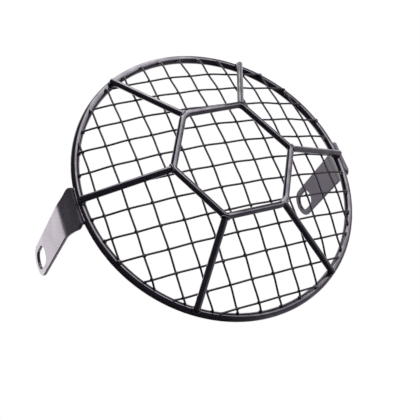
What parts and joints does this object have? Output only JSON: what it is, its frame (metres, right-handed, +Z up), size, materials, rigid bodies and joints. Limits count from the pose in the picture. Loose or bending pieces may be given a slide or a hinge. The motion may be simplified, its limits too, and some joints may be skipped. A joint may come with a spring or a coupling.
{
  "type": "headlight guard",
  "caption": "Domed woven-wire guard on a round rod ring, with a hexagon and spokes ahead of the mesh and slotted side brackets, bolted in front of a motorcycle headlight.",
  "frame": {"origin": "midway between the two bolt slots, at the middle of each slot", "axes": "+X to the right bracket along the line of the side bolts, -Y to the front (the way the lamp shines), +Z up"},
  "size_m": [0.209, 0.1099, 0.18],
  "materials": {
    "black_enamel": "gloss"
  },
  "bodies": {
    "root": {"bracket_left": "black_enamel", "bracket_right": "black_enamel", "hexagon_frame": "black_enamel", "mesh_wire_across_01": "black_enamel", "mesh_wire_across_02": "black_enamel", "mesh_wire_across_03": "black_enamel", "mesh_wire_across_04": "black_enamel", "mesh_wire_across_05": "black_enamel", "mesh_wire_across_06": "black_enamel", "mesh_wire_across_07": "black_enamel", "mesh_wire_across_08": "black_enamel", "mesh_wire_across_09": "black_enamel", "mesh_wire_across_10": "black_enamel", "mesh_wire_across_11": "black_enamel", "mesh_wire_across_12": "black_enamel", "mesh_wire_down_01": "black_enamel", "mesh_wire_down_02": "black_enamel", "mesh_wire_down_03": "black_enamel", "mesh_wire_down_04": "black_enamel", "mesh_wire_down_05": "black_enamel", "mesh_wire_down_06": "black_enamel", "mesh_wire_down_07": "black_enamel", "mesh_wire_down_08": "black_enamel", "mesh_wire_down_09": "black_enamel", "mesh_wire_down_10": "black_enamel", "mesh_wire_down_11": "black_enamel", "mesh_wire_down_12": "black_enamel", "outer_ring": "black_enamel", "spoke_left": "black_enamel", "spoke_lower_left": "black_enamel", "spoke_lower_right": "black_enamel", "spoke_right": "black_enamel", "spoke_upper_left": "black_enamel", "spoke_upper_right": "black_enamel"}
  },
  "joints": []
}
